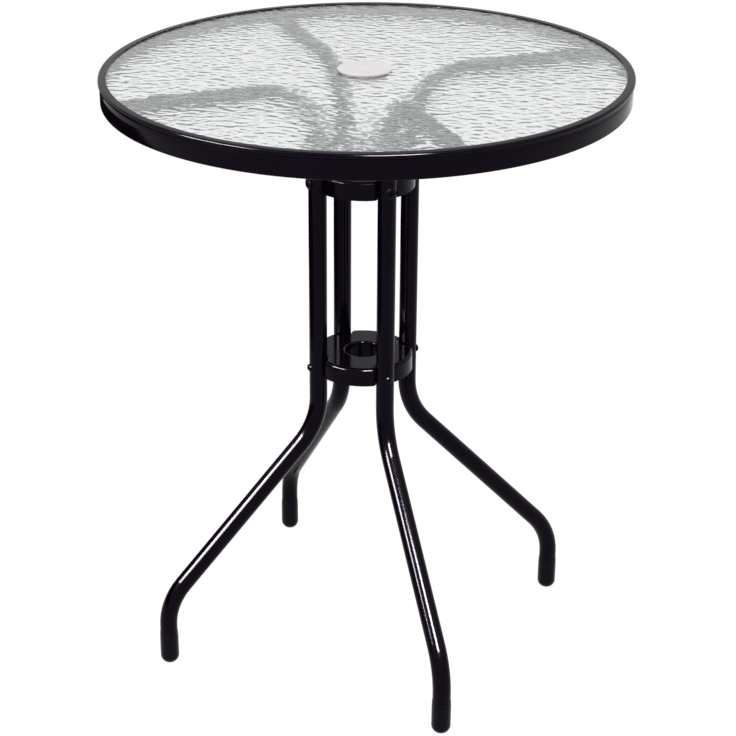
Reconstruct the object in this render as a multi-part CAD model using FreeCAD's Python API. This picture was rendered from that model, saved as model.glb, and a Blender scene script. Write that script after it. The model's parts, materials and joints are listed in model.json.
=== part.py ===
import FreeCAD, Part
import math
import os
from FreeCAD import Vector

# Round umbrella table with a rippled glass top, in millimetres.
# +Z is up. The origin is on the floor under the middle of the top.
# The four bent tubes stand on the diagonals, so the gaps between them face the X and Y axes.

# Overall sizes
TABLE_HEIGHT = 725.0  # floor to the top of the rim
TOP_DIAMETER = 600.0  # across the bead of the rim

# Rim, rolled from sheet steel
RIM_SHEET = 1.2
RIM_FLANGE_WIDTH = 9.1  # from the outside of the bead to the inner edge of the flange
RIM_BEAD_OVERHANG = 1.7  # how far the bead stands out past the band
RIM_BEAD_HEIGHT = 4.0  # from the top of the rim to where the bead turns in
RIM_BEAD_RADIUS = 2.4
RIM_NECK_RECESS = 0.9  # how far the neck under the bead lies inside the band
RIM_NECK_DROP = 7.0  # from the top of the rim to the deepest line of the neck
RIM_NECK_HEIGHT = 4.5  # from the deepest line of the neck to the plain band
RIM_NECK_RADIUS = 1.0
RIM_SHOULDER_RADIUS = 8.0
RIM_HEM_WIDTH = 4.0
RIM_HEM_RADIUS = 1.5
RIM_HEM_CLEARANCE = 0.3  # between the hem and the pegs that lie over it

# Glass top
GLASS_THICKNESS = 4.0
GLASS_EDGE_CLEARANCE = 1.2  # between the edge of the glass and the neck of the rim
GLASS_FLANGE_CLEARANCE = 0.3  # between the top of the glass and the flange over it
GLASS_EDGE_CHAMFER = 0.6
GLASS_HOLE_DIAMETER = 50.0

# Bent tubes
TUBE_DIAMETER = 21.3
TUBE_WALL = 1.2
TUBE_CIRCLE_RADIUS = 59.2  # from the middle of the table to the axis of an upright
ARM_BEND_RADIUS = 70.0
ARM_END_CLEARANCE = 2.0  # between the end of an arm and the hem of the rim
UPPER_KNEE_HEIGHT = 294.0  # where the axis of the upright meets the axis of the splayed leg
UPPER_KNEE_RADIUS = 86.0
LEG_REACH = 197.5  # from the axis of the upright out to the axis of the foot
LOWER_KNEE_HEIGHT = 83.5
LOWER_KNEE_RADIUS = 77.0

# Soft saddles between the arms and the glass
PAD_THICKNESS = 1.5
PAD_LENGTH = 26.0
PAD_HALF_ANGLE = 48.0
PAD_INSET = 52.0  # from the end of an arm to the middle of its pad

# Pegs inside the rim
PEG_CLEARANCE = 0.2  # between a peg and the bore of its tube
PEG_GRIP = 32.0  # length inside the arm
PEG_CHAMFER = 1.0

# Stamped rings
RING_RADIUS = 58.5
RING_HEIGHT = 22.0
RING_SHEET = 1.5
RING_EDGE_RADIUS = 4.0
RING_CORNER_RADIUS = 5.0
RING_SEAT_CLEARANCE = 0.15  # between a tube and its hollowed seat
UPPER_RING_DROP = 115.0  # from the top of the rim to the top of the upper ring
LOWER_RING_TOP = 379.0
POLE_HOLE_DIAMETER = 43.6
COLLAR_DEPTH = 22.0  # of the collar drawn down round the umbrella hole
COLLAR_EDGE_RADIUS = 2.2
COLLAR_ROOT_WIDTH = 5.0  # level sheet round the hole that belongs to the collar

# Screws and nuts of the rings, and the screws of the arms
UPPER_SCREW_DIAMETER = 6.0
UPPER_HEAD_DIAMETER = 14.4
UPPER_HEAD_HEIGHT = 3.4
UPPER_NUT_WIDTH = 10.0
UPPER_NUT_HEIGHT = 5.0
LOWER_SCREW_DIAMETER = 5.0
LOWER_HEAD_DIAMETER = 9.2
LOWER_HEAD_HEIGHT = 3.1
LOWER_NUT_WIDTH = 8.0
LOWER_NUT_HEIGHT = 4.0
SCREW_HOLE_CLEARANCE = 0.25
SCREW_TAIL = 3.0  # thread past the nut
ARM_SCREW_DIAMETER = 5.0
ARM_HEAD_DIAMETER = 9.0
ARM_HEAD_HEIGHT = 3.0
ARM_SCREW_BITE = 8.0  # length of thread in the peg
THREAD_CLEARANCE = 0.05
HEAD_SIDE_SHARE = 0.42  # height of the side of a head over its full height
HEAD_TOP_SHARE = 0.93  # width of a head at the top of its side over its width below
CROSS_SHARE = 0.52  # length of the cross recess over the width of the head
CROSS_WIDTH = 1.4
CROSS_DEPTH = 1.8

# Foot caps
FOOT_CAP_HEIGHT = 44.0
FOOT_CAP_WALL = 0.6
FOOT_CAP_CLEARANCE = 0.1
FOOT_CAP_TAPER = 8.0  # height over which the mouth thins out against the tube
FOOT_CAP_MOUTH_WALL = 0.2
FOOT_CAP_END_HEIGHT = 10.5  # of the round end, which is solid up to the tube
FOOT_CONTACT_DIAMETER = 5.0

# Grommet and cap of the umbrella hole
GROMMET_CLEARANCE = 0.3  # between the sleeve and the hole in the glass
GROMMET_WALL = 2.2
GROMMET_FLANGE_DIAMETER = 60.0
GROMMET_FLANGE_HEIGHT = 1.0
GROMMET_FLANGE_BEVEL = 0.5
GROMMET_CLIP_WIDTH = 1.0  # how far the clip stands out under the glass
GROMMET_CLIP_GAP = 0.3
GROMMET_CLIP_HEIGHT = 3.0
GROMMET_DEPTH = 9.0  # of the sleeve under the glass
CAP_DIAMETER = 62.0
CAP_EDGE_HEIGHT = 1.2
CAP_CROWN = 1.4  # how much the middle of the cap stands above its edge
CAP_EDGE_RADIUS = 0.8
CAP_WALL = 2.0
CAP_CLEARANCE = 0.3
CAP_SKIRT_DEPTH = 10.0
CAP_SEAT_GAP = 0.3
CAP_RIB_COUNT = 4
CAP_RIB_WIDTH = 1.6
CAP_RIB_DEPTH = 5.0

# The four corners: the direction of each upright, and how far its bent tube is turned
# about it, clockwise from above. The tubes can turn in their seats, so the four differ.
CORNERS = {
    "back_right": (45.0, 7.5),
    "back_left": (135.0, 3.5),
    "front_left": (225.0, 3.5),
    "front_right": (315.0, 6.0),
}

UP = Vector(0, 0, 1)
OUTWARD = Vector(1, 0, 0)
ORIGIN = Vector(0, 0, 0)

# Sizes worked out from the ones above
top_radius = TOP_DIAMETER / 2
tube_radius = TUBE_DIAMETER / 2
bore_radius = tube_radius - TUBE_WALL
band_radius = top_radius - RIM_BEAD_OVERHANG
band_inner_radius = band_radius - RIM_SHEET
neck_radius = band_radius - RIM_NECK_RECESS
flange_inner_radius = top_radius - RIM_FLANGE_WIDTH
glass_top_height = TABLE_HEIGHT - RIM_SHEET - GLASS_FLANGE_CLEARANCE
glass_bottom_height = glass_top_height - GLASS_THICKNESS
glass_radius = neck_radius - RIM_SHEET - GLASS_EDGE_CLEARANCE
arm_height = glass_bottom_height - PAD_THICKNESS - tube_radius
arm_end = band_radius - RIM_HEM_WIDTH - ARM_END_CLEARANCE - TUBE_CIRCLE_RADIUS
arm_screw_place = arm_end - PEG_GRIP / 2
arm_screw_length = TUBE_WALL + PEG_CLEARANCE + ARM_SCREW_BITE
peg_radius = bore_radius - PEG_CLEARANCE
rim_foot_height = arm_height - peg_radius - RIM_HEM_CLEARANCE - RIM_SHEET
upper_ring_top = TABLE_HEIGHT - UPPER_RING_DROP
seat_radius = tube_radius + RING_SEAT_CLEARANCE
pole_radius = POLE_HOLE_DIAMETER / 2
collar_root_radius = pole_radius + COLLAR_ROOT_WIDTH


def upright_place(direction):
    """The foot of an upright's axis in plan."""
    angle = math.radians(direction)
    return Vector(math.cos(angle), math.sin(angle), 0) * TUBE_CIRCLE_RADIUS


def to_corner(shape, direction, swing):
    """Move a shape made about the upright's axis, with its arm along +X, to its corner of the table."""
    placed = shape.copy()
    placed.rotate(ORIGIN, UP, direction - swing)
    placed.translate(upright_place(direction))
    return placed


def to_all_corners(shape):
    """One copy of a shape at each corner."""
    return [to_corner(shape, direction, swing) for direction, swing in CORNERS.values()]


def rounded_path(points, radii):
    """Edges of a path through the points, with an arc of the given radius at each inner point."""
    edges = []
    start = points[0]
    for before, corner, after, radius in zip(points, points[1:], points[2:], radii):
        back = (before - corner).normalize()
        ahead = (after - corner).normalize()
        half_angle = back.getAngle(ahead) / 2
        cut = radius / math.tan(half_angle)
        middle = (back + ahead).normalize()
        arc_start = corner + back * cut
        arc_end = corner + ahead * cut
        arc_middle = corner + middle * (radius / math.sin(half_angle) - radius)
        if start.distanceToPoint(arc_start) > 1e-6:
            edges.append(Part.LineSegment(start, arc_start).toShape())
        edges.append(Part.Arc(arc_start, arc_middle, arc_end).toShape())
        start = arc_end
    edges.append(Part.LineSegment(start, points[-1]).toShape())
    return edges


def offset_points(points, distance):
    """The same path in the XZ plane, moved sideways to the right of its direction of travel."""
    moved = []
    for index, point in enumerate(points):
        normals = []
        if index > 0:
            travel = (point - points[index - 1]).normalize()
            normals.append(Vector(travel.z, 0, -travel.x))
        if index < len(points) - 1:
            travel = (points[index + 1] - point).normalize()
            normals.append(Vector(travel.z, 0, -travel.x))
        total = sum(normals[1:], normals[0])
        moved.append(point + total * (distance * len(normals) / total.Length ** 2))
    return moved


def turns_right(before, corner, after):
    """Whether a path in the XZ plane turns to its right at the corner."""
    return (corner - before).cross(after - corner).y > 0


def folded_sheet(points, radii, thickness):
    """A solid of revolution of bent sheet. The points and radii give the side to the left of the path."""
    inner_radii = []
    for before, corner, after, radius in zip(points, points[1:], points[2:], radii):
        grows = -thickness if turns_right(before, corner, after) else thickness
        inner_radii.append(radius + grows)
    outer = rounded_path(points, radii)
    inner_points = offset_points(points, thickness)
    inner = rounded_path(inner_points, inner_radii)
    ends = [
        Part.LineSegment(points[0], inner_points[0]).toShape(),
        Part.LineSegment(points[-1], inner_points[-1]).toShape(),
    ]
    wire = Part.Wire(Part.__sortEdges__(outer + inner + ends))
    return Part.Face(wire).revolve(ORIGIN, UP, 360)


def revolved(profile):
    """A solid of revolution from a closed list of (radius, height) points."""
    corners = [Vector(radius, 0, height) for radius, height in profile]
    wire = Part.makePolygon(corners + corners[:1])
    return Part.Face(wire).revolve(ORIGIN, UP, 360)


def crown_arc(edge_radius, edge_height, rise):
    """An arc in the XZ plane from an edge up to a level crown on the Z axis."""
    dome_radius = (edge_radius ** 2 + rise ** 2) / (2 * rise)
    half_way = edge_radius / 2
    sag = dome_radius - math.sqrt(dome_radius ** 2 - half_way ** 2)
    crown = edge_height + rise
    points = [Vector(edge_radius, 0, edge_height), Vector(half_way, 0, crown - sag), Vector(0, 0, crown)]
    return Part.Arc(*points).toShape()


def tube_along(edges, radius):
    """A round bar of this radius swept along a path that starts at its first edge."""
    path = Part.Wire(edges)
    start = edges[0].firstVertex().Point
    heading = edges[0].tangentAt(edges[0].FirstParameter)
    section = Part.Wire(Part.makeCircle(radius, start, heading))
    return path.makePipeShell([section], True, False)


def make_rim():
    """The hoop: flat flange, rounded bead, neck, plain band and a hem turned in at the foot."""
    top = TABLE_HEIGHT
    foot = rim_foot_height
    neck = top - RIM_NECK_DROP
    path = [
        Vector(flange_inner_radius, 0, top),
        Vector(top_radius, 0, top),
        Vector(top_radius, 0, top - RIM_BEAD_HEIGHT),
        Vector(neck_radius, 0, neck),
        Vector(band_radius, 0, neck - RIM_NECK_HEIGHT),
        Vector(band_radius, 0, foot),
        Vector(band_radius - RIM_HEM_WIDTH, 0, foot),
    ]
    radii = [RIM_BEAD_RADIUS, RIM_BEAD_RADIUS, RIM_NECK_RADIUS, RIM_SHOULDER_RADIUS, RIM_HEM_RADIUS]
    return folded_sheet(path, radii, RIM_SHEET)


def make_glass():
    """The glass disc, with ground edges and a round umbrella hole."""
    disc = Part.makeCylinder(glass_radius, GLASS_THICKNESS, Vector(0, 0, glass_bottom_height))
    hole = Part.makeCylinder(GLASS_HOLE_DIAMETER / 2, GLASS_THICKNESS, Vector(0, 0, glass_bottom_height))
    glass = disc.cut(hole)
    rims = [edge for edge in glass.Edges if isinstance(edge.Curve, Part.Circle)]
    return glass.makeChamfer(GLASS_EDGE_CHAMFER, rims)


def leg_path(foot_height):
    """The axis of a bent tube from the arm's end to the foot, about its upright's axis."""
    points = [
        Vector(arm_end, 0, arm_height),
        Vector(0, 0, arm_height),
        Vector(0, 0, UPPER_KNEE_HEIGHT),
        Vector(LEG_REACH, 0, LOWER_KNEE_HEIGHT),
        Vector(LEG_REACH, 0, foot_height),
    ]
    return rounded_path(points, [ARM_BEND_RADIUS, UPPER_KNEE_RADIUS, LOWER_KNEE_RADIUS])


def screw_hole(diameter, length, start, direction):
    """A round cutter for a screw's hole, a little larger than the screw."""
    return Part.makeCylinder(diameter / 2 + SCREW_HOLE_CLEARANCE, length, start, direction)


def make_leg():
    """One tube: arm under the glass, upright, splayed leg and foot, drilled for its three screws."""
    edges = leg_path(FOOT_CAP_END_HEIGHT)
    tube = tube_along(edges, tube_radius).cut(tube_along(edges, bore_radius))
    for ring_top, diameter in ((upper_ring_top, UPPER_SCREW_DIAMETER), (LOWER_RING_TOP, LOWER_SCREW_DIAMETER)):
        start = Vector(-TUBE_DIAMETER, 0, ring_top - RING_HEIGHT / 2)
        tube = tube.cut(screw_hole(diameter, 2 * TUBE_DIAMETER, start, OUTWARD))
    arm_hole_start = Vector(arm_screw_place, 0, arm_height - TUBE_DIAMETER)
    return tube.cut(screw_hole(ARM_SCREW_DIAMETER, TUBE_DIAMETER, arm_hole_start, UP))


def make_peg():
    """A peg along the arm's axis, out of the tube and past the band, with a threaded hole from below."""
    inner_end = arm_end - PEG_GRIP
    outer_end = top_radius - TUBE_CIRCLE_RADIUS
    start = Vector(inner_end, 0, arm_height)
    peg = Part.makeCylinder(peg_radius, outer_end - inner_end, start, OUTWARD)
    inner_edge = [edge for edge in peg.Edges if edge.BoundBox.XMax < inner_end + 1e-3]
    peg = peg.makeChamfer(PEG_CHAMFER, inner_edge)
    hole_start = Vector(arm_screw_place, 0, arm_height - tube_radius)
    hole = Part.makeCylinder(ARM_SCREW_DIAMETER / 2 + THREAD_CLEARANCE, TUBE_DIAMETER, hole_start, UP)
    return peg.cut(hole)


def fit_into_rim(peg, rim):
    """Trim a peg so that its outer end follows the inner face of the hoop."""
    inside = Part.makeCylinder(band_inner_radius, TABLE_HEIGHT, ORIGIN)
    return peg.common(inside).cut(rim)


def make_pad():
    """A soft saddle on the crown of an arm, under the glass."""
    start = arm_end - PAD_INSET - PAD_LENGTH / 2
    spread = math.radians(PAD_HALF_ANGLE)

    def on_section(radius, angle):
        return Vector(start, radius * math.sin(angle), arm_height + radius * math.cos(angle))

    outer = tube_radius + PAD_THICKNESS
    edges = [
        Part.Arc(*[on_section(tube_radius, turn * spread) for turn in (-1, 0, 1)]).toShape(),
        Part.LineSegment(on_section(tube_radius, spread), on_section(outer, spread)).toShape(),
        Part.Arc(*[on_section(outer, turn * spread) for turn in (1, 0, -1)]).toShape(),
        Part.LineSegment(on_section(outer, -spread), on_section(tube_radius, -spread)).toShape(),
    ]
    return Part.Face(Part.Wire(edges)).extrude(Vector(PAD_LENGTH, 0, 0))


def seat_outline(inset, height):
    """The plan of a ring, drawn in by an inset: an outer circle with a hollow seat at each upright."""
    outer = RING_RADIUS - inset
    hollow = seat_radius + inset
    disc = Part.makeCylinder(outer, height)
    for direction, _ in CORNERS.values():
        disc = disc.cut(Part.makeCylinder(hollow, height, upright_place(direction)))
    corners = [edge for edge in disc.Edges if is_upright(edge) and is_outline_corner(edge, outer)]
    return disc.makeFillet(RING_CORNER_RADIUS - inset, corners)


def is_upright(edge):
    """Whether an edge is a straight vertical line."""
    return isinstance(edge.Curve, Part.Line) and abs(edge.tangentAt(edge.FirstParameter).z) > 0.999


def is_outline_corner(edge, outer):
    """Whether a vertical edge stands on the outer circle between two seats, not on the circle's seam."""
    point = edge.firstVertex().Point
    angle = math.degrees(math.atan2(point.y, point.x)) % 90
    return abs(math.hypot(point.x, point.y) - outer) < 1e-3 and abs(angle - 45) < 30


def ring_blank(inset):
    """The pressed form of a ring, drawn in by an inset: its plan, rounded over along the top edge."""
    height = RING_HEIGHT - inset
    blank = seat_outline(inset, height)
    top_edges = [edge for edge in blank.Edges if edge.BoundBox.ZMin > height - 1e-3]
    return blank.makeFillet(RING_EDGE_RADIUS - inset, top_edges)


def make_collar():
    """The collar drawn down round the umbrella hole, with the level sheet it springs from."""
    path = [
        Vector(pole_radius, 0, RING_HEIGHT - COLLAR_DEPTH),
        Vector(pole_radius, 0, RING_HEIGHT),
        Vector(collar_root_radius, 0, RING_HEIGHT),
    ]
    return folded_sheet(path, [COLLAR_EDGE_RADIUS], RING_SHEET)


def make_ring(screw_diameter):
    """A ring of pressed sheet, open below: flat top, rounded edge, skirt with four seats, deep collar."""
    ring = ring_blank(0).cut(ring_blank(RING_SHEET))
    ring = ring.cut(Part.makeCylinder(collar_root_radius, RING_HEIGHT))
    ring = ring.fuse(make_collar()).removeSplitter()
    start = Vector(-TUBE_CIRCLE_RADIUS / 2, 0, RING_HEIGHT / 2)
    hole = screw_hole(screw_diameter, TUBE_CIRCLE_RADIUS / 2, start, OUTWARD)
    return ring.cut(Part.makeCompound(to_all_corners(hole)))


def screw_head(diameter, height):
    """A domed head on its flat underside at the origin, with a cross recess, along +Z."""
    rim = Vector(diameter / 2, 0, 0)
    shoulder = Vector(diameter / 2 * HEAD_TOP_SHARE, 0, height * HEAD_SIDE_SHARE)
    crown = Vector(0, 0, height)
    edges = [
        Part.LineSegment(ORIGIN, rim).toShape(),
        Part.LineSegment(rim, shoulder).toShape(),
        crown_arc(shoulder.x, shoulder.z, height - shoulder.z),
        Part.LineSegment(crown, ORIGIN).toShape(),
    ]
    head = Part.Face(Part.Wire(edges)).revolve(ORIGIN, UP, 360)
    reach = diameter * CROSS_SHARE
    floor = height - CROSS_DEPTH
    slot = Part.makeBox(reach, CROSS_WIDTH, height, Vector(-reach / 2, -CROSS_WIDTH / 2, floor))
    cross_slot = Part.makeBox(CROSS_WIDTH, reach, height, Vector(-CROSS_WIDTH / 2, -reach / 2, floor))
    return head.cut(slot.fuse(cross_slot).removeSplitter())


def make_screw(diameter, head_diameter, head_height, length):
    """A screw with the underside of its head at the origin, its head to +Z and its shank to -Z."""
    shank = Part.makeCylinder(diameter / 2, length, Vector(0, 0, -length))
    return screw_head(head_diameter, head_height).fuse(shank).removeSplitter()


def make_nut(width, height, diameter):
    """A hexagon nut with one face at the origin, reaching along +Z."""
    corner = width / math.sqrt(3)
    points = []
    for index in range(7):
        angle = math.radians(60 * index)
        points.append(Vector(corner * math.cos(angle), corner * math.sin(angle), 0))
    body = Part.Face(Part.makePolygon(points)).extrude(UP * height)
    return body.cut(Part.makeCylinder(diameter / 2 + THREAD_CLEARANCE, height))


def pointing(shape, along, at):
    """A shape made along +Z, turned to point along a direction and moved to a place."""
    placed = shape.copy()
    placed.Placement = FreeCAD.Placement(at, FreeCAD.Rotation(UP, along))
    return placed


def ring_fasteners(ring_top, diameter, head_diameter, head_height, nut_width, nut_height):
    """The four screws and four nuts that hold the tubes to one ring."""
    level = ring_top - RING_HEIGHT / 2
    nut_seat = seat_radius + RING_SHEET
    length = tube_radius + nut_seat + nut_height + SCREW_TAIL
    screw = make_screw(diameter, head_diameter, head_height, length)
    screw = pointing(screw, OUTWARD, Vector(tube_radius, 0, level))
    nut = pointing(make_nut(nut_width, nut_height, diameter), -OUTWARD, Vector(-nut_seat, 0, level))
    return Part.makeCompound(to_all_corners(screw)), Part.makeCompound(to_all_corners(nut))


def make_arm_screw():
    """The screw from below an arm into its peg."""
    screw = make_screw(ARM_SCREW_DIAMETER, ARM_HEAD_DIAMETER, ARM_HEAD_HEIGHT, arm_screw_length)
    return pointing(screw, -UP, Vector(arm_screw_place, 0, arm_height - tube_radius))


def make_foot_cap():
    """A long thin cap with a round end and a small flat to stand on, about its upright's axis."""
    bore = tube_radius + FOOT_CAP_CLEARANCE
    outer = bore + FOOT_CAP_WALL
    flat = FOOT_CONTACT_DIAMETER / 2
    round_radius = ((outer - flat) ** 2 + FOOT_CAP_END_HEIGHT ** 2) / (2 * (outer - flat))
    turn = math.asin(FOOT_CAP_END_HEIGHT / round_radius) / 2
    belly_radius = outer - round_radius * (1 - math.cos(turn))
    belly = Vector(belly_radius, 0, FOOT_CAP_END_HEIGHT - round_radius * math.sin(turn))
    side_foot = Vector(outer, 0, FOOT_CAP_END_HEIGHT)
    side_top = Vector(outer, 0, FOOT_CAP_HEIGHT - FOOT_CAP_TAPER)
    mouth = Vector(bore + FOOT_CAP_MOUTH_WALL, 0, FOOT_CAP_HEIGHT)
    middle = Vector(0, 0, FOOT_CAP_HEIGHT)
    edges = [
        Part.LineSegment(ORIGIN, Vector(flat, 0, 0)).toShape(),
        Part.Arc(Vector(flat, 0, 0), belly, side_foot).toShape(),
        Part.LineSegment(side_foot, side_top).toShape(),
        Part.LineSegment(side_top, mouth).toShape(),
        Part.LineSegment(mouth, middle).toShape(),
        Part.LineSegment(middle, ORIGIN).toShape(),
    ]
    body = Part.Face(Part.Wire(edges)).revolve(ORIGIN, UP, 360)
    cap = body.cut(Part.makeCylinder(bore, FOOT_CAP_HEIGHT, Vector(0, 0, FOOT_CAP_END_HEIGHT)))
    cap.translate(Vector(LEG_REACH, 0, 0))
    return cap


def make_grommet():
    """The plastic ring in the glass: a flange on top, a sleeve through the hole and a clip below."""
    outer = GLASS_HOLE_DIAMETER / 2 - GROMMET_CLEARANCE
    inner = outer - GROMMET_WALL
    flange = GROMMET_FLANGE_DIAMETER / 2
    flange_top = glass_top_height + GROMMET_FLANGE_HEIGHT
    clip = GLASS_HOLE_DIAMETER / 2 + GROMMET_CLIP_WIDTH
    clip_top = glass_bottom_height - GROMMET_CLIP_GAP
    bottom = glass_bottom_height - GROMMET_DEPTH
    return revolved([
        (inner, bottom),
        (outer, bottom),
        (outer, clip_top - GROMMET_CLIP_HEIGHT),
        (clip, clip_top - GROMMET_CLIP_HEIGHT / 2),
        (clip, clip_top),
        (outer, clip_top),
        (outer, glass_top_height),
        (flange, glass_top_height),
        (flange, flange_top - GROMMET_FLANGE_BEVEL),
        (flange - GROMMET_FLANGE_BEVEL, flange_top),
        (inner, flange_top),
    ])


def is_ring_at(edge, radius, height):
    """Whether an edge is a level circle of this radius at this height."""
    if edge.Degenerated or not isinstance(edge.Curve, Part.Circle):
        return False
    return abs(edge.Curve.Radius - radius) < 1e-3 and abs(edge.Curve.Center.z - height) < 1e-3


def make_hole_cap():
    """The plug of the umbrella hole: a slightly domed disc with a thin skirt and cross ribs inside."""
    seat = glass_top_height + GROMMET_FLANGE_HEIGHT + CAP_SEAT_GAP
    radius = CAP_DIAMETER / 2
    skirt = GLASS_HOLE_DIAMETER / 2 - GROMMET_CLEARANCE - GROMMET_WALL - CAP_CLEARANCE
    edge_top = seat + CAP_EDGE_HEIGHT
    middle = Vector(0, 0, seat)
    edges = [
        Part.LineSegment(middle, Vector(radius, 0, seat)).toShape(),
        Part.LineSegment(Vector(radius, 0, seat), Vector(radius, 0, edge_top)).toShape(),
        crown_arc(radius, edge_top, CAP_CROWN),
        Part.LineSegment(Vector(0, 0, edge_top + CAP_CROWN), middle).toShape(),
    ]
    disc = Part.Face(Part.Wire(edges)).revolve(ORIGIN, UP, 360)
    sharp = [edge for edge in disc.Edges if is_ring_at(edge, radius, edge_top)]
    disc = disc.makeFillet(CAP_EDGE_RADIUS, sharp)
    bottom = Vector(0, 0, seat - CAP_SKIRT_DEPTH)
    wall = Part.makeCylinder(skirt, CAP_SKIRT_DEPTH, bottom)
    wall = wall.cut(Part.makeCylinder(skirt - CAP_WALL, CAP_SKIRT_DEPTH, bottom))
    cap = disc.fuse(wall)
    for index in range(CAP_RIB_COUNT // 2):
        rib = Part.makeBox(2 * skirt - CAP_WALL, CAP_RIB_WIDTH, CAP_RIB_DEPTH)
        rib.translate(Vector(-skirt + CAP_WALL / 2, -CAP_RIB_WIDTH / 2, seat - CAP_RIB_DEPTH))
        rib.rotate(ORIGIN, UP, 360 * index / CAP_RIB_COUNT)
        cap = cap.fuse(rib)
    return cap.removeSplitter()


def save(name, shape):
    """Write one node, and print its solids and volume."""
    shape.exportStep(os.path.join("parts", name + ".step"))
    print(name, len(shape.Solids), "solids", round(shape.Volume / 1000, 2), "cm3", "valid", shape.isValid())


def main():
    """Make every node of the table."""
    os.makedirs("parts", exist_ok=True)
    rim = make_rim()
    save("rim_hoop", rim)
    save("glass_top", make_glass())
    save("hole_grommet", make_grommet())
    save("hole_cap", make_hole_cap())

    upper_ring = make_ring(UPPER_SCREW_DIAMETER)
    upper_ring.translate(UP * (upper_ring_top - RING_HEIGHT))
    save("upper_ring", upper_ring)
    lower_ring = make_ring(LOWER_SCREW_DIAMETER)
    lower_ring.translate(UP * (LOWER_RING_TOP - RING_HEIGHT))
    save("lower_ring", lower_ring)

    screws, nuts = ring_fasteners(
        upper_ring_top, UPPER_SCREW_DIAMETER, UPPER_HEAD_DIAMETER, UPPER_HEAD_HEIGHT,
        UPPER_NUT_WIDTH, UPPER_NUT_HEIGHT)
    save("upper_screws", screws)
    save("upper_nuts", nuts)
    screws, nuts = ring_fasteners(
        LOWER_RING_TOP, LOWER_SCREW_DIAMETER, LOWER_HEAD_DIAMETER, LOWER_HEAD_HEIGHT,
        LOWER_NUT_WIDTH, LOWER_NUT_HEIGHT)
    save("lower_screws", screws)
    save("lower_nuts", nuts)

    leg = make_leg()
    peg = make_peg()
    pad = make_pad()
    foot_cap = make_foot_cap()
    for corner, (direction, swing) in CORNERS.items():
        save("leg_" + corner, to_corner(leg, direction, swing))
        save("rim_peg_" + corner, fit_into_rim(to_corner(peg, direction, swing), rim))
        save("glass_pad_" + corner, to_corner(pad, direction, swing))
        save("foot_cap_" + corner, to_corner(foot_cap, direction, swing))
    save("arm_screws", Part.makeCompound(to_all_corners(make_arm_screw())))


main()
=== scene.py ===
"""The looks of a round umbrella table with a rippled glass top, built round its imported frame.

Lengths are in metres and angles in radians.
"""

import json
import logging
import math
import random
from dataclasses import dataclass, field
from enum import Enum

import bpy
import numpy as np
from mathutils import Matrix, Vector

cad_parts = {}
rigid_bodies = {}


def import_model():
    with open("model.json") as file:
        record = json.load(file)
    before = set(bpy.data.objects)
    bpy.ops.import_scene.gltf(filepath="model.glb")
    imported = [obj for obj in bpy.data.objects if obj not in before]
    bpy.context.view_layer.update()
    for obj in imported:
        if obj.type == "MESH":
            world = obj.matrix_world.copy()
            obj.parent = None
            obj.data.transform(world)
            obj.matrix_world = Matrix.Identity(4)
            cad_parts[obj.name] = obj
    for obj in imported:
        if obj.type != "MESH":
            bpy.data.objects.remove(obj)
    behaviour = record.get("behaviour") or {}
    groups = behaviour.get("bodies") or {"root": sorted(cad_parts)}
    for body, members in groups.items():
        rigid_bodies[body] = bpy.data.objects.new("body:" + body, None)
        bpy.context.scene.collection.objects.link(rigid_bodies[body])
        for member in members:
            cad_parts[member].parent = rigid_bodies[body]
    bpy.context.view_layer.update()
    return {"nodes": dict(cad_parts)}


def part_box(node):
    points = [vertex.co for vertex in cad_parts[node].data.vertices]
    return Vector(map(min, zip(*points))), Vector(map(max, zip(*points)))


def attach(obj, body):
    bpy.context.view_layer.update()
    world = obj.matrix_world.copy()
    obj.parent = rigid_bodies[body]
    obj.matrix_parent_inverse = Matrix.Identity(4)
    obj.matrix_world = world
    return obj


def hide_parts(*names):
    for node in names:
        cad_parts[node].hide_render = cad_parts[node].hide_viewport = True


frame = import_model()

PHOTO_PIXELS = 736
NOISE_LOW = 0.3  # most of a noise lies between this and the next value
NOISE_HIGH = 0.7

Colour = tuple[float, float, float]
Point = tuple[float, float, float]
Factors = tuple[float, float, float]
Face = tuple[int, ...]

log = logging.getLogger("umbrella_table")


class Slot(Enum):
    """The finishes that the record names."""

    COAT = "black_powder_coat"
    GLASS = "rippled_glass"
    FOOT = "foot_plastic"
    PALE = "pale_plastic"
    SCREW = "black_screws"
    ZINC = "zinc_plate"
    RUBBER = "clear_rubber"


class Corner(Enum):
    """The four corners where a bent tube stands."""

    BACK_RIGHT = "back_right"
    BACK_LEFT = "back_left"
    FRONT_LEFT = "front_left"
    FRONT_RIGHT = "front_right"


def add_mesh(name: str, points: list[Point], faces: list[Face]) -> bpy.types.Object:
    """Add an object made of points and faces to the scene.

    Args:
        name: The name of the object and of its mesh.
        points: The points in metres.
        faces: The faces, as indices of their points.

    Returns:
        The new object.
    """
    mesh = bpy.data.meshes.new(name)
    mesh.from_pydata(points, [], faces)
    mesh.validate()
    made = bpy.data.objects.new(name, mesh)
    bpy.context.scene.collection.objects.link(made)
    return made


def smooth(mesh: bpy.types.Mesh, sharp_angle: float) -> None:
    """Shade a mesh smooth, apart from the edges that turn by more than an angle."""
    mesh.polygons.foreach_set("use_smooth", [True] * len(mesh.polygons))
    mesh.set_sharp_from_angle(angle=sharp_angle)


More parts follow.
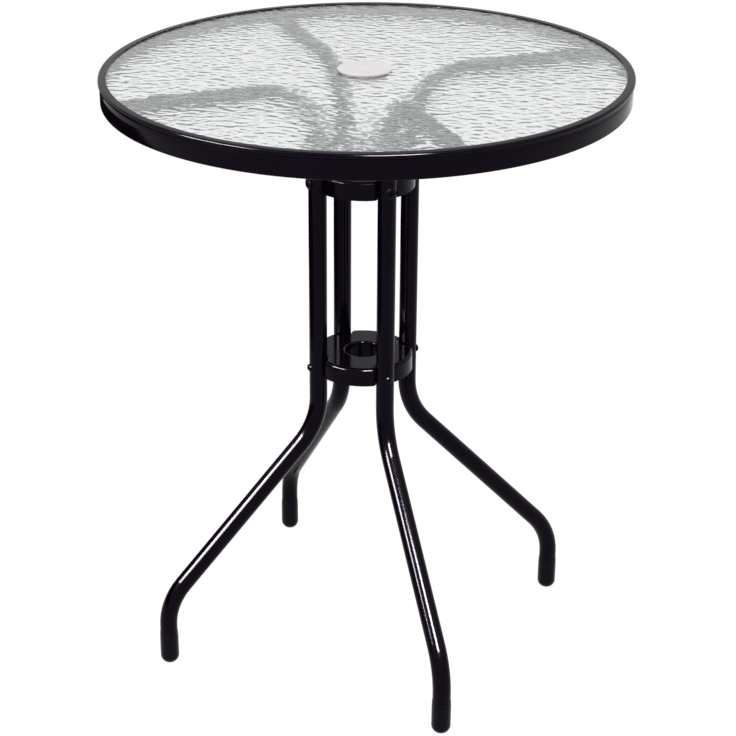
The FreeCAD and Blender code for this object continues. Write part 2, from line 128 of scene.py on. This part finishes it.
class Graph:
    """A material's nodes, with short calls to add and join them."""

    def __init__(self, name: str) -> None:
        """Start an empty material.

        Args:
            name: What the material is called.
        """
        self.material = bpy.data.materials.new(name)
        self.material.use_nodes = True
        self.tree = self.material.node_tree
        self.tree.nodes.clear()
        self.output = self.tree.nodes.new("ShaderNodeOutputMaterial")

    def add(self, kind: str, **values: object) -> bpy.types.Node:
        """Add a node and set it up.

        Args:
            kind: The node's type, without its ShaderNode prefix.
            **values: Settings of the node, or values of its input sockets, by name with _ for a space.

        Returns:
            The new node.
        """
        node = self.tree.nodes.new("ShaderNode" + kind)
        for key, value in values.items():
            if hasattr(node, key):
                setattr(node, key, value)
            else:
                node.inputs[key.replace("_", " ")].default_value = value
        return node

    def join(self, source: bpy.types.NodeSocket, target: bpy.types.NodeSocket) -> None:
        """Link an output socket to an input socket."""
        self.tree.links.new(source, target)

    def place(self, scale: float = 1.0, stretch: Factors = (1.0, 1.0, 1.0)) -> bpy.types.NodeSocket:
        """Give object coordinates, scaled for a texture.

        Args:
            scale: How many texture units there are to a metre.
            stretch: A further factor on each axis.

        Returns:
            The socket with the scaled coordinates.
        """
        coordinates = self.add("TexCoord")
        mapping = self.add("Mapping")
        mapping.inputs["Scale"].default_value = tuple(scale * part for part in stretch)
        self.join(coordinates.outputs["Object"], mapping.inputs["Vector"])
        return mapping.outputs["Vector"]

    def height(self) -> bpy.types.NodeSocket:
        """Give the height above the floor.

        Returns:
            The socket with the height in metres.
        """
        parts = self.add("SeparateXYZ")
        self.join(self.place(), parts.inputs[0])
        return parts.outputs["Z"]

    def noise(self, cell: float, detail: float = 2.0, roughness: float = 0.5,
              stretch: Factors = (1.0, 1.0, 1.0)) -> bpy.types.NodeSocket:
        """Give a noise whose blobs have a real size.

        Args:
            cell: The size of a blob in metres.
            detail: How many finer layers lie on top.
            roughness: How strong the finer layers are.
            stretch: A further factor on each axis.

        Returns:
            The socket with the noise's height, from 0 to 1.
        """
        texture = self.add("TexNoise", Scale=1.0, Detail=detail, Roughness=roughness)
        self.join(self.place(1 / cell, stretch), texture.inputs["Vector"])
        return texture.outputs[0]

    def between(self, source: bpy.types.NodeSocket, low: float, high: float,
                start: float = NOISE_LOW, end: float = NOISE_HIGH) -> bpy.types.NodeSocket:
        """Spread a noise or a height over a range of values.

        Args:
            source: The noise or the height.
            low: The value where the source is at start.
            high: The value where the source is at end.
            start: The source's low end.
            end: The source's high end.

        Returns:
            The socket with the spread value.
        """
        spread = self.add("MapRange", From_Min=start, From_Max=end, To_Min=low, To_Max=high)
        self.join(source, spread.inputs["Value"])
        return spread.outputs["Result"]

    def tint(self, source: bpy.types.NodeSocket, dark: Colour, light: Colour) -> bpy.types.NodeSocket:
        """Colour a noise from dark to light.

        Args:
            source: The noise.
            dark: The colour at the noise's low end.
            light: The colour at the noise's high end.

        Returns:
            The socket with the colour.
        """
        ramp = self.add("ValToRGB")
        ramp.color_ramp.elements[0].position = NOISE_LOW
        ramp.color_ramp.elements[0].color = (*dark, 1)
        ramp.color_ramp.elements[1].position = NOISE_HIGH
        ramp.color_ramp.elements[1].color = (*light, 1)
        self.join(source, ramp.inputs["Fac"])
        return ramp.outputs["Color"]

    def bump(self, source: bpy.types.NodeSocket,
             depth: float | bpy.types.NodeSocket) -> bpy.types.NodeSocket:
        """Raise a surface by a noise.

        Args:
            source: The noise.
            depth: How high the noise stands in metres, or a socket that gives it.

        Returns:
            The socket with the bent normal.
        """
        node = self.add("Bump", Strength=1.0)
        if isinstance(depth, bpy.types.NodeSocket):
            self.join(depth, node.inputs["Distance"])
        else:
            node.inputs["Distance"].default_value = depth
        self.join(source, node.inputs["Height"])
        return node.outputs["Normal"]

    def shader(self, **values: object) -> bpy.types.Node:
        """Add the main shader and join it to the output.

        Args:
            **values: Values of the shader's sockets, by name with _ for a space.

        Returns:
            The shader node.
        """
        node = self.add("BsdfPrincipled", **values)
        self.join(node.outputs["BSDF"], self.output.inputs["Surface"])
        return node


@dataclass(frozen=True)
class PowderCoat:
    """Semi-gloss black powder coat on steel, with its fine orange peel and faint patches."""

    slot: Slot = Slot.COAT
    dark: Colour = (0.0025, 0.0005, 0.0038)
    light: Colour = (0.0034, 0.001, 0.0056)
    gloss: float = 0.058
    gleam_tint: Colour = (0.97, 0.9, 1.0)
    smoothest: float = 0.07
    roughest: float = 0.16
    peel_size: float = 0.0018
    peel_depth: float = 0.000014
    patch_size: float = 0.03

    def material(self) -> bpy.types.Material:
        """Make the material.

        Returns:
            The material.
        """
        graph = Graph(self.slot.value)
        shader = graph.shader(Specular_IOR_Level=self.gloss, Specular_Tint=(*self.gleam_tint, 1))
        peel = graph.noise(self.peel_size, detail=3.0, roughness=0.6)
        patches = graph.noise(self.patch_size)
        graph.join(graph.tint(patches, self.dark, self.light), shader.inputs["Base Color"])
        graph.join(graph.between(peel, self.smoothest, self.roughest), shader.inputs["Roughness"])
        graph.join(graph.bump(peel, self.peel_depth), shader.inputs["Normal"])
        return graph.material


@dataclass(frozen=True)
class RippledGlass:
    """Clear tempered glass, with faint clouds of haze and a swell that bends what shows through it."""

    slot: Slot = Slot.GLASS
    clear: Colour = (0.805, 0.82, 0.815)
    hazy: Colour = (0.765, 0.785, 0.785)
    lamp_tint: Colour = (0.86, 0.89, 0.885)
    gleam_tint: Colour = (0.84, 0.96, 1.0)
    clearness: float = 0.945
    roughness: float = 0.01
    refraction: float = 1.5
    cloud_size: float = 0.02
    swell_size: float = 0.0065
    swell_stretch: Factors = (0.6, 1.1, 1.0)
    swell_below: float = 0.0002  # less than on top, because the ripple's real waves are below
    swell_on_top: float = 0.0007

    def material(self, underside: float, top: float) -> bpy.types.Material:
        """Make the material. Lamps shine straight through it, so that what is below stays lit.

        Args:
            underside: The height of the disc's lower face.
            top: The height of the disc's upper face.

        Returns:
            The material.
        """
        graph = Graph(self.slot.value)
        shader = graph.shader(
            Roughness=self.roughness,
            IOR=self.refraction,
            Transmission_Weight=self.clearness,
            Specular_Tint=(*self.gleam_tint, 1),
        )
        cloud = graph.noise(self.cloud_size)
        graph.join(graph.tint(cloud, self.hazy, self.clear), shader.inputs["Base Color"])
        swell = graph.noise(self.swell_size, detail=0.0, stretch=self.swell_stretch)
        depth = graph.between(graph.height(), self.swell_below, self.swell_on_top, underside, top)
        graph.join(graph.bump(swell, depth), shader.inputs["Normal"])
        through = graph.add("BsdfTransparent", Color=(*self.lamp_tint, 1))
        light_path = graph.add("LightPath")
        mix = graph.add("MixShader")
        graph.join(light_path.outputs["Is Shadow Ray"], mix.inputs[0])
        graph.join(shader.outputs["BSDF"], mix.inputs[1])
        graph.join(through.outputs["BSDF"], mix.inputs[2])
        graph.join(mix.outputs["Shader"], graph.output.inputs["Surface"])
        return graph.material


@dataclass(frozen=True)
class MouldedPlastic:
    """Moulded plastic with a fine grain."""

    slot: Slot
    dark: Colour
    light: Colour
    smoothest: float
    roughest: float
    gloss: float
    gleam_tint: Colour = (1.0, 1.0, 1.0)
    grain_size: float = 0.0008
    grain_depth: float = 0.00002
    patch_size: float = 0.012

    def material(self) -> bpy.types.Material:
        """Make the material.

        Returns:
            The material.
        """
        graph = Graph(self.slot.value)
        shader = graph.shader(Specular_IOR_Level=self.gloss, Specular_Tint=(*self.gleam_tint, 1))
        grain = graph.noise(self.grain_size, detail=3.0)
        patches = graph.noise(self.patch_size)
        graph.join(graph.tint(patches, self.dark, self.light), shader.inputs["Base Color"])
        graph.join(graph.between(patches, self.smoothest, self.roughest), shader.inputs["Roughness"])
        graph.join(graph.bump(grain, self.grain_depth), shader.inputs["Normal"])
        return graph.material


@dataclass(frozen=True)
class PlatedSteel:
    """Zinc-plated steel, with faint clouds in the plating."""

    slot: Slot = Slot.ZINC
    dark: Colour = (0.36, 0.37, 0.4)
    light: Colour = (0.55, 0.56, 0.58)
    smoothest: float = 0.28
    roughest: float = 0.42
    cloud_size: float = 0.004
    cloud_depth: float = 0.00001

    def material(self) -> bpy.types.Material:
        """Make the material.

        Returns:
            The material.
        """
        graph = Graph(self.slot.value)
        shader = graph.shader(Metallic=1.0)
        clouds = graph.noise(self.cloud_size, detail=4.0)
        graph.join(graph.tint(clouds, self.dark, self.light), shader.inputs["Base Color"])
        graph.join(graph.between(clouds, self.smoothest, self.roughest), shader.inputs["Roughness"])
        graph.join(graph.bump(clouds, self.cloud_depth), shader.inputs["Normal"])
        return graph.material


@dataclass(frozen=True)
class Ripple:
    """The water-wave pattern pressed into the underside of the glass."""

    wave_length: float = 0.0118
    shortest: float = 0.72  # as a share of the wave length
    longest: float = 1.4
    depth: float = 0.00026
    flattening: float = 0.8  # of the crests and the hollows
    run: float = math.radians(-70.8)
    spread: float = math.radians(28)
    wave_count: int = 70
    seed: int = 7
    fade: float = 0.004  # width over which the waves die out beside the ground edges

    def heights(self, x: np.ndarray, y: np.ndarray) -> np.ndarray:
        """Give the pattern's height, from 0 in the hollows to the depth on the crests.

        Args:
            x: Places along X in metres.
            y: Places along Y in metres.

        Returns:
            The heights in metres.
        """
        draw = random.Random(self.seed)
        total = np.zeros_like(x)
        for _ in range(self.wave_count):
            heading = draw.gauss(self.run, self.spread)
            length = self.wave_length * draw.uniform(self.shortest, self.longest)
            phase = draw.uniform(0, math.tau)
            along = x * math.cos(heading) + y * math.sin(heading)
            total += np.sin(along * (math.tau / length) + phase)
        total *= math.sqrt(2 / self.wave_count)
        return self.depth * (0.5 + 0.5 * np.tanh(total * self.flattening))


@dataclass
class GlassTop:
    """The glass disc, with its pattern as real waves on the underside."""

    node: str = "glass_top"
    body: str = "table"
    ripple: Ripple = field(default_factory=Ripple)
    finish: RippledGlass = field(default_factory=RippledGlass)
    radial_step: float = 0.002
    widest_step: float = 1.3  # round the disc, as a share of the radial step
    inner_segments: int = 240
    most_segments: int = 960
    edge_chamfer: float = 0.0006
    sharp_angle: float = math.radians(30)

    def build(self) -> bpy.types.Object:
        """Make the rippled disc in place of the plain one.

        Returns:
            The disc.
        """
        low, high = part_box(self.node)
        radii = [vertex.co.xy.length for vertex in frame["nodes"][self.node].data.vertices]
        hole = min(radii)
        rim = max(radii)
        rings = self.ring_radii(hole, rim)
        points: list[Point] = []
        faces: list[Face] = []
        lower_hole, lower_rim = self.add_underside(points, faces, rings, low.z)
        self.close(points, faces, lower_hole, lower_rim, hole, rim, high.z)
        disc = add_mesh("rippled_glass_disc", points, faces)
        smooth(disc.data, self.sharp_angle)
        return disc

    def ring_radii(self, hole: float, rim: float) -> list[tuple[float, int]]:
        """Give the rings of the underside, each with its number of points, which doubles outwards.

        Args:
            hole: The radius of the hole.
            rim: The radius of the disc.

        Returns:
            The radius and the number of points of each ring, from the hole outwards.
        """
        first = hole + self.edge_chamfer
        last = rim - self.edge_chamfer
        count = round((last - first) / self.radial_step)
        widest = self.radial_step * self.widest_step
        rings: list[tuple[float, int]] = []
        for index in range(count + 1):
            radius = first + (last - first) * index / count
            segments = self.inner_segments
            while radius * math.tau / segments > widest and segments < self.most_segments:
                segments *= 2
            rings.append((radius, segments))
        return rings

    def add_underside(self, points: list[Point], faces: list[Face], rings: list[tuple[float, int]],
                      bottom: float) -> tuple[list[int], list[int]]:
        """Add the rippled face.

        Args:
            points: The mesh's points, which grow.
            faces: The mesh's faces, which grow.
            rings: The radius and the number of points of each ring.
            bottom: The height of the disc's lowest plane.

        Returns:
            The indices of the first and the last ring's points.
        """
        before: list[int] = []
        first: list[int] = []
        for radius, segments in rings:
            angles = np.arange(segments) * (math.tau / segments)
            x = radius * np.cos(angles)
            y = radius * np.sin(angles)
            near_edge = min(radius - rings[0][0], rings[-1][0] - radius) / self.ripple.fade
            z = bottom + self.ripple.heights(x, y) * min(1.0, near_edge)
            ring = list(range(len(points), len(points) + segments))
            points.extend(zip(x.tolist(), y.tolist(), z.tolist()))
            if before:
                faces.extend(self.band(before, ring))
            else:
                first = ring
            before = ring
        return first, before

    def band(self, inner: list[int], outer: list[int]) -> list[Face]:
        """Join two rings with faces that look down. The outer ring may have twice the points.

        Args:
            inner: The indices of the inner ring's points.
            outer: The indices of the outer ring's points.

        Returns:
            The faces between them.
        """
        count = len(inner)
        made: list[Face] = []
        for index in range(count):
            here, there = inner[index], inner[(index + 1) % count]
            if len(outer) == count:
                made.append((here, there, outer[(index + 1) % count], outer[index]))
            else:
                start, middle = outer[2 * index], outer[2 * index + 1]
                end = outer[(2 * index + 2) % len(outer)]
                made.append((here, there, middle))
                made.append((here, middle, start))
                made.append((there, end, middle))
        return made

    def close(self, points: list[Point], faces: list[Face], lower_hole: list[int], lower_rim: list[int],
              hole: float, rim: float, top: float) -> None:
        """Add the ground edges and the flat top.

        Args:
            points: The mesh's points, which grow.
            faces: The mesh's faces, which grow.
            lower_hole: The underside's ring at the hole.
            lower_rim: The underside's ring at the rim.
            hole: The radius of the hole.
            rim: The radius of the disc.
            top: The height of the disc's top.
        """
        chamfer = self.edge_chamfer
        base = points[lower_rim[0]][2]
        outside = [(rim, base + chamfer), (rim, top - chamfer), (rim - chamfer, top)]
        inside = [(hole, base + chamfer), (hole, top - chamfer), (hole + chamfer, top)]
        outer_rings = [lower_rim]
        outer_rings += [self.add_ring(points, len(lower_rim), *spot) for spot in outside]
        inner_rings = [lower_hole]
        inner_rings += [self.add_ring(points, len(lower_hole), *spot) for spot in inside]
        for inner, outer in zip(outer_rings, outer_rings[1:]):
            faces.extend(self.band(inner, outer))
        for inner, outer in zip(inner_rings, inner_rings[1:]):
            faces.extend(self.band(outer, inner))
        ring = outer_rings[-1]
        radius = rim - chamfer
        while len(ring) > len(inner_rings[-1]):
            radius = (radius + hole) / 2
            inner = self.add_ring(points, len(ring) // 2, radius, top)
            faces.extend(tuple(reversed(face)) for face in self.band(inner, ring))
            ring = inner
        faces.extend(tuple(reversed(face)) for face in self.band(inner_rings[-1], ring))

    def add_ring(self, points: list[Point], count: int, radius: float, height: float) -> list[int]:
        """Add a level ring of points.

        Args:
            points: The mesh's points, which grow.
            count: How many points the ring has.
            radius: The ring's radius.
            height: The ring's height.

        Returns:
            The indices of the new points.
        """
        start = len(points)
        for index in range(count):
            angle = math.tau * index / count
            points.append((radius * math.cos(angle), radius * math.sin(angle), height))
        return list(range(start, start + count))

    def dress(self, disc: bpy.types.Object) -> None:
        """Give the disc its glass and let it stand for the plain solid.

        Args:
            disc: The rippled disc.
        """
        low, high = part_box(self.node)
        disc.data.materials.append(self.finish.material(low.z, high.z))
        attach(disc, self.body)
        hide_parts(self.node)


@dataclass
class RimHoop:
    """The folded hoop round the top, spun in fine steps so that its bead gleams in a clean line."""

    node: str = "rim_hoop"
    body: str = "table"
    finish: PowderCoat = field(default_factory=PowderCoat)
    inset: float = 0.00003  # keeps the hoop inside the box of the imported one, whose facets are coarser
    sheet: float = 0.0012
    flange_width: float = 0.0091
    bead_overhang: float = 0.0017
    bead_height: float = 0.004
    bead_radius: float = 0.0024
    neck_recess: float = 0.0009
    neck_drop: float = 0.007
    neck_height: float = 0.0045
    neck_radius: float = 0.001
    shoulder_radius: float = 0.008
    hem_width: float = 0.004
    hem_radius: float = 0.0015
    segments: int = 720
    arc_steps: int = 8
    sharp_angle: float = math.radians(40)

    def build(self) -> bpy.types.Object:
        """Make the hoop.

        Returns:
            The hoop.
        """
        section = self.section()
        points: list[Point] = []
        for turn in range(self.segments):
            angle = turn * (math.tau / self.segments)
            points.extend((radius * math.cos(angle), radius * math.sin(angle), height)
                          for radius, height in section)
        count = len(section)
        faces: list[Face] = []
        for turn in range(self.segments):
            here = turn * count
            there = (turn + 1) % self.segments * count
            for index in range(count):
                after = (index + 1) % count
                faces.append((here + index, here + after, there + after, there + index))
        hoop = add_mesh("folded_rim_hoop", points, faces)
        smooth(hoop.data, self.sharp_angle)
        return hoop

    def section(self) -> list[tuple[float, float]]:
        """Cut through the folded sheet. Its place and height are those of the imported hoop.

        Returns:
            The outline of the cut, as (radius, height) points.
        """
        low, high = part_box(self.node)
        radius = high.x - self.inset
        band = radius - self.bead_overhang
        neck = high.z - self.neck_drop
        path = [
            Vector((radius - self.flange_width, high.z)),
            Vector((radius, high.z)),
            Vector((radius, high.z - self.bead_height)),
            Vector((band - self.neck_recess, neck)),
            Vector((band, neck - self.neck_height)),
            Vector((band, low.z)),
            Vector((band - self.hem_width, low.z)),
        ]
        radii = [self.bead_radius, self.bead_radius, self.neck_radius,
                 self.shoulder_radius, self.hem_radius]
        outside = self.rounded(path, radii)
        inner_path = self.shifted(path)
        inner_radii = []
        for before, corner, after, bend in zip(path, path[1:], path[2:], radii):
            turns_right = (corner - before).cross(after - corner) < 0
            inner_radii.append(bend - self.sheet if turns_right else bend + self.sheet)
        inside = self.rounded(inner_path, inner_radii)
        return outside + inside[::-1]

    def shifted(self, path: list[Vector]) -> list[Vector]:
        """Move a path to its right by the sheet's thickness.

        Args:
            path: The corners and ends of the path.

        Returns:
            The corners and ends of the moved path.
        """
        headings = [(end - start).normalized() for start, end in zip(path, path[1:])]
        sides = [Vector((heading.y, -heading.x)) * self.sheet for heading in headings]
        moved = [path[0] + sides[0]]
        for corner, before, after, heading in zip(path[1:], sides, sides[1:], headings):
            half = (before + after).normalized()
            moved.append(corner + half * (self.sheet / half.dot(before.normalized())))
        moved.append(path[-1] + sides[-1])
        return moved

    def rounded(self, path: list[Vector], radii: list[float]) -> list[tuple[float, float]]:
        """Round the corners of a path.

        Args:
            path: The corners as (radius, height), with both ends.
            radii: The radius at each corner between the ends.

        Returns:
            Points along the rounded path.
        """
        points = [tuple(path[0])]
        for before, corner, after, radius in zip(path, path[1:], path[2:], radii):
            inward = (before - corner).normalized()
            onward = (after - corner).normalized()
            half_angle = inward.angle(onward) / 2
            start = corner + inward * (radius / math.tan(half_angle))
            centre = corner + (inward + onward).normalized() * (radius / math.sin(half_angle))
            first = start - centre
            sweep = math.pi - 2 * half_angle
            if inward.cross(onward) > 0:
                sweep = -sweep
            for step in range(self.arc_steps + 1):
                turn = Matrix.Rotation(sweep * step / self.arc_steps, 2)
                points.append(tuple(centre + turn @ first))
        points.append(tuple(path[-1]))
        return points

    def dress(self, hoop: bpy.types.Object) -> None:
        """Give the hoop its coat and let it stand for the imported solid.

        Args:
            hoop: The folded hoop.
        """
        hoop.data.materials.append(self.finish.material())
        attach(hoop, self.body)
        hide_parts(self.node)


@dataclass
class CarriedParts:
    """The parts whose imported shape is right, and which only need their finish."""

    coat: PowderCoat = field(default_factory=PowderCoat)
    zinc: PlatedSteel = field(default_factory=PlatedSteel)
    foot: MouldedPlastic = MouldedPlastic(
        slot=Slot.FOOT, dark=(0.0021, 0.0003, 0.0034), light=(0.003, 0.0008, 0.0052),
        smoothest=0.12, roughest=0.2, gloss=0.08, gleam_tint=(0.97, 0.9, 1.0))
    pale: MouldedPlastic = MouldedPlastic(
        slot=Slot.PALE, dark=(0.72, 0.69, 0.685), light=(0.78, 0.745, 0.735),
        smoothest=0.35, roughest=0.45, gloss=0.3)
    # a darker copy of the pale plastic for the grommet: painted shade for its place under the cap and
    # the glass
    grommet_painted_shade: MouldedPlastic = MouldedPlastic(
        slot=Slot.PALE, dark=(0.68, 0.66, 0.65), light=(0.74, 0.715, 0.705),
        smoothest=0.35, roughest=0.45, gloss=0.3)
    screw: MouldedPlastic = MouldedPlastic(
        slot=Slot.SCREW, dark=(0.001, 0.0006, 0.0014), light=(0.002, 0.0013, 0.0026),
        smoothest=0.2, roughest=0.3, gloss=0.07, gleam_tint=(0.9, 0.8, 1.0))
    rubber: MouldedPlastic = MouldedPlastic(
        slot=Slot.RUBBER, dark=(0.02, 0.02, 0.022), light=(0.03, 0.03, 0.033),
        smoothest=0.5, roughest=0.6, gloss=0.1)

    def nodes(self) -> dict[Slot, list[str]]:
        """List the carried nodes.

        Returns:
            The names of the nodes, by finish. hole_grommet isn't among them: it gets a darker copy of
            the pale plastic, as painted shade.
        """
        corners = [corner.value for corner in Corner]
        return {
            Slot.COAT: ["upper_ring", "lower_ring"] + ["leg_" + corner for corner in corners],
            Slot.FOOT: ["foot_cap_" + corner for corner in corners],
            Slot.PALE: ["hole_cap"],
            Slot.SCREW: ["upper_screws", "lower_screws", "arm_screws"],
            Slot.ZINC: ["upper_nuts", "lower_nuts"] + ["rim_peg_" + corner for corner in corners],
            Slot.RUBBER: ["glass_pad_" + corner for corner in corners],
        }

    def dress(self) -> None:
        """Give each carried node its material."""
        finishes = {finish.slot: finish for finish in (
            self.coat, self.foot, self.pale, self.screw, self.zinc, self.rubber)}
        for slot, names in self.nodes().items():
            material = finishes[slot].material()
            for name in names:
                self.put_on(name, material)
        # the grommet gets its darker copy of the pale plastic, as painted shade
        self.put_on("hole_grommet", self.grommet_painted_shade.material())

    def put_on(self, name: str, material: bpy.types.Material) -> None:
        """Give one node its material.

        Args:
            name: The node.
            material: What it is made of.
        """
        mesh = frame["nodes"][name].data
        mesh.materials.clear()
        mesh.materials.append(material)
        log.info("dressed %s with %s", name, material.name)


@dataclass(frozen=True)
class Softbox:
    """A rectangular lamp that faces the table, placed by its direction and rise as seen from it."""

    name: str
    direction: float
    rise: float
    width: float
    height: float
    power: float
    distance: float = 2.2
    target: Point = (0.0, 0.0, 0.5)
    gleams_on: tuple[Slot, ...] = ()

    def build(self) -> None:
        """Make the lamp."""
        light = bpy.data.lights.new(self.name, "AREA")
        light.shape = "RECTANGLE"
        light.size = self.width
        light.size_y = self.height
        light.energy = self.power
        lamp = bpy.data.objects.new(self.name, light)
        level = math.cos(self.rise)
        away = Vector((
            level * math.cos(self.direction),
            level * math.sin(self.direction),
            math.sin(self.rise),
        ))
        lamp.location = Vector(self.target) + away * self.distance
        lamp.rotation_euler = (-away).to_track_quat("-Z", "Y").to_euler()
        lamp.visible_camera = False
        lamp.visible_transmission = False
        if self.gleams_on:
            lamp.visible_diffuse = False
            lamp.light_linking.receiver_collection = self.receivers()
        bpy.context.scene.collection.objects.link(lamp)

    def receivers(self) -> bpy.types.Collection:
        """Gather the parts with the finishes that this lamp gleams on.

        Returns:
            A collection that holds them.
        """
        group = bpy.data.collections.new(self.name + "_receivers")
        wanted = {slot.value for slot in self.gleams_on}
        for part in bpy.context.scene.objects:
            if part.type == "MESH":
                names = {material.name.split(".")[0] for material in part.data.materials if material}
                if names & wanted:
                    group.objects.link(part)
        return group


@dataclass(frozen=True)
class Flag:
    """A bent black card that stands low beside the table and shows only as a reflection."""

    name: str = "studio_flag"
    outline: tuple[Point, ...] = (
        (-0.52, -0.86, 0.06), (-0.72, -0.56, 0.34), (-0.86, -0.2, 0.5), (-0.967, 0.192, 0.5),
        (-1.022, 0.649, 0.5), (-0.804, 0.937, 0.5), (-0.585, 1.067, 0.5))
    bottom: float = 0.02
    colour: Colour = (0.01, 0.01, 0.012)

    def build(self) -> None:
        """Make the card."""
        points = [(x, y, height) for x, y, top in self.outline for height in (self.bottom, top)]
        faces = [(start, start + 2, start + 3, start + 1) for start in range(0, len(points) - 2, 2)]
        card = add_mesh(self.name, points, faces)
        graph = Graph(self.name)
        matt = graph.add("BsdfDiffuse", Color=(*self.colour, 1))
        graph.join(matt.outputs["BSDF"], graph.output.inputs["Surface"])
        card.data.materials.append(graph.material)
        card.visible_camera = False
        card.visible_diffuse = False
        card.visible_transmission = False
        card.visible_shadow = False


@dataclass
class Studio:
    """A white floor and background, with soft lamps and a black card."""

    floor_size: float = 60.0
    floor_colour: Colour = (0.8, 0.8, 0.8)
    floor_glow: float = 0.9  # share of the floor's shown white that doesn't depend on light
    glow_strength: float = 1.06
    ambient: float = 0.5
    background_glow: float = 1.0
    white: Colour = (1.0, 1.0, 1.0)

    def build(self) -> None:
        """Make the floor, the background, the card and the lamps."""
        self.build_floor()
        self.build_background()
        Flag().build()
        for lamp in self.lamps():
            lamp.build()
            log.info("built %s", lamp.name)

    def lamps(self) -> list[Softbox]:
        """List the lamps.

        Returns:
            Three lamps that light the table, and two that only gleam on its dark parts.
        """
        dark_parts = (Slot.COAT, Slot.FOOT, Slot.SCREW)
        return [
            Softbox(name="key_lamp", direction=math.radians(-124), rise=math.radians(38),
                    width=1.8, height=1.8, power=19),
            Softbox(name="fill_lamp", direction=math.radians(-16), rise=math.radians(38),
                    width=1.6, height=1.6, power=12),
            Softbox(name="top_lamp", direction=math.radians(77), rise=math.radians(64),
                    width=1.4, height=1.4, power=9),
            Softbox(name="left_gleam", direction=math.radians(-131.5), rise=math.radians(24),
                    width=1.15, height=0.5, power=430, gleams_on=dark_parts),
            Softbox(name="front_gleam", direction=math.radians(-58), rise=math.radians(36),
                    width=0.8, height=0.8, power=600, gleams_on=dark_parts),
        ]

    def seen_directly(self, tree: bpy.types.NodeTree) -> bpy.types.NodeSocket:
        """Add nodes that tell whether the camera, or a mirror or glass before it, sees a surface.

        Args:
            tree: The nodes of the floor's material or of the world.

        Returns:
            The socket that is 1 for such rays and 0 for light that falls on things.
        """
        path = tree.nodes.new("ShaderNodeLightPath")
        first = tree.nodes.new("ShaderNodeMath")
        first.operation = "MAXIMUM"
        second = tree.nodes.new("ShaderNodeMath")
        second.operation = "MAXIMUM"
        tree.links.new(path.outputs["Is Camera Ray"], first.inputs[0])
        tree.links.new(path.outputs["Is Glossy Ray"], first.inputs[1])
        tree.links.new(first.outputs[0], second.inputs[0])
        tree.links.new(path.outputs["Is Transmission Ray"], second.inputs[1])
        return second.outputs[0]

    def build_floor(self) -> None:
        """Make the floor, which looks white and keeps a faint shadow."""
        half = self.floor_size / 2
        corners = [(-half, -half, 0.0), (half, -half, 0.0), (half, half, 0.0), (-half, half, 0.0)]
        floor = add_mesh("studio_floor", corners, [(0, 1, 2, 3)])
        graph = Graph("studio_floor")
        matt = graph.add("BsdfDiffuse", Color=(*self.floor_colour, 1))
        shadow_side = graph.add("BsdfDiffuse", Color=(*self.white, 1))
        glow = graph.add("Emission", Color=(*self.white, 1), Strength=self.glow_strength)
        shown = graph.add("MixShader", Fac=self.floor_glow)
        graph.join(shadow_side.outputs[0], shown.inputs[1])
        graph.join(glow.outputs[0], shown.inputs[2])
        either = graph.add("MixShader")
        graph.join(self.seen_directly(graph.tree), either.inputs[0])
        graph.join(matt.outputs[0], either.inputs[1])
        graph.join(shown.outputs[0], either.inputs[2])
        graph.join(either.outputs[0], graph.output.inputs["Surface"])
        floor.data.materials.append(graph.material)

    def build_background(self) -> None:
        """Make the background, white to the eye and softer as a source of light."""
        world = bpy.data.worlds.new("studio_background")
        world.use_nodes = True
        tree = world.node_tree
        tree.nodes.clear()
        mix = tree.nodes.new("ShaderNodeMixShader")
        tree.links.new(self.seen_directly(tree), mix.inputs[0])
        for place, strength in ((1, self.ambient), (2, self.background_glow)):
            background = tree.nodes.new("ShaderNodeBackground")
            background.inputs["Color"].default_value = (*self.white, 1)
            background.inputs["Strength"].default_value = strength
            tree.links.new(background.outputs[0], mix.inputs[place])
        output = tree.nodes.new("ShaderNodeOutputWorld")
        tree.links.new(mix.outputs[0], output.inputs["Surface"])
        bpy.context.scene.world = world


@dataclass(frozen=True)
class PhotoCamera:
    """The camera at the photograph's place, turned and framed as it was."""

    direction: float = 0.336484
    distance: float = 2.109881
    height: float = 1.338557
    pitch: float = 0.424543
    yaw: float = -0.052941
    roll: float = -0.016163
    focal_pixels: float = 1934.284
    centre_pixels: tuple[float, float] = (270.0, 345.0)
    sensor: float = 36.0

    def build(self) -> None:
        """Make the camera and look through it."""
        data = bpy.data.cameras.new("photo_camera")
        data.sensor_width = self.sensor
        data.lens = self.focal_pixels / PHOTO_PIXELS * self.sensor
        data.shift_x = (PHOTO_PIXELS / 2 - self.centre_pixels[0]) / PHOTO_PIXELS
        data.shift_y = (self.centre_pixels[1] - PHOTO_PIXELS / 2) / PHOTO_PIXELS
        camera = bpy.data.objects.new("photo_camera", data)
        camera.matrix_world = self.placement()
        bpy.context.scene.collection.objects.link(camera)
        bpy.context.scene.camera = camera

    def placement(self) -> Matrix:
        """Place the camera in the table's frame.

        Returns:
            The camera's place and turn.
        """
        ahead = Vector((
            math.sin(self.yaw) * math.cos(self.pitch),
            math.cos(self.yaw) * math.cos(self.pitch),
            -math.sin(self.pitch),
        ))
        right = Vector((math.cos(self.yaw), -math.sin(self.yaw), 0))
        up = right.cross(ahead)
        rolled_right = right * math.cos(self.roll) + up * math.sin(self.roll)
        rolled_up = up * math.cos(self.roll) - right * math.sin(self.roll)
        turn = Matrix((rolled_right, rolled_up, -ahead)).transposed().to_4x4()
        place = Matrix.Translation((0, -self.distance, self.height))
        return Matrix.Rotation(self.direction, 4, "Z") @ place @ turn


def main() -> None:
    """Dress the table and set up the studio round it."""
    logging.basicConfig(level=logging.INFO, format="%(message)s")
    bpy.context.scene.view_settings.view_transform = "Standard"
    CarriedParts().dress()
    for part in (GlassTop(), RimHoop()):
        made = part.build()
        part.dress(made)
        log.info("built %s with %d faces", made.name, len(made.data.polygons))
    Studio().build()
    PhotoCamera().build()


if __name__ == "__main__":
    main()
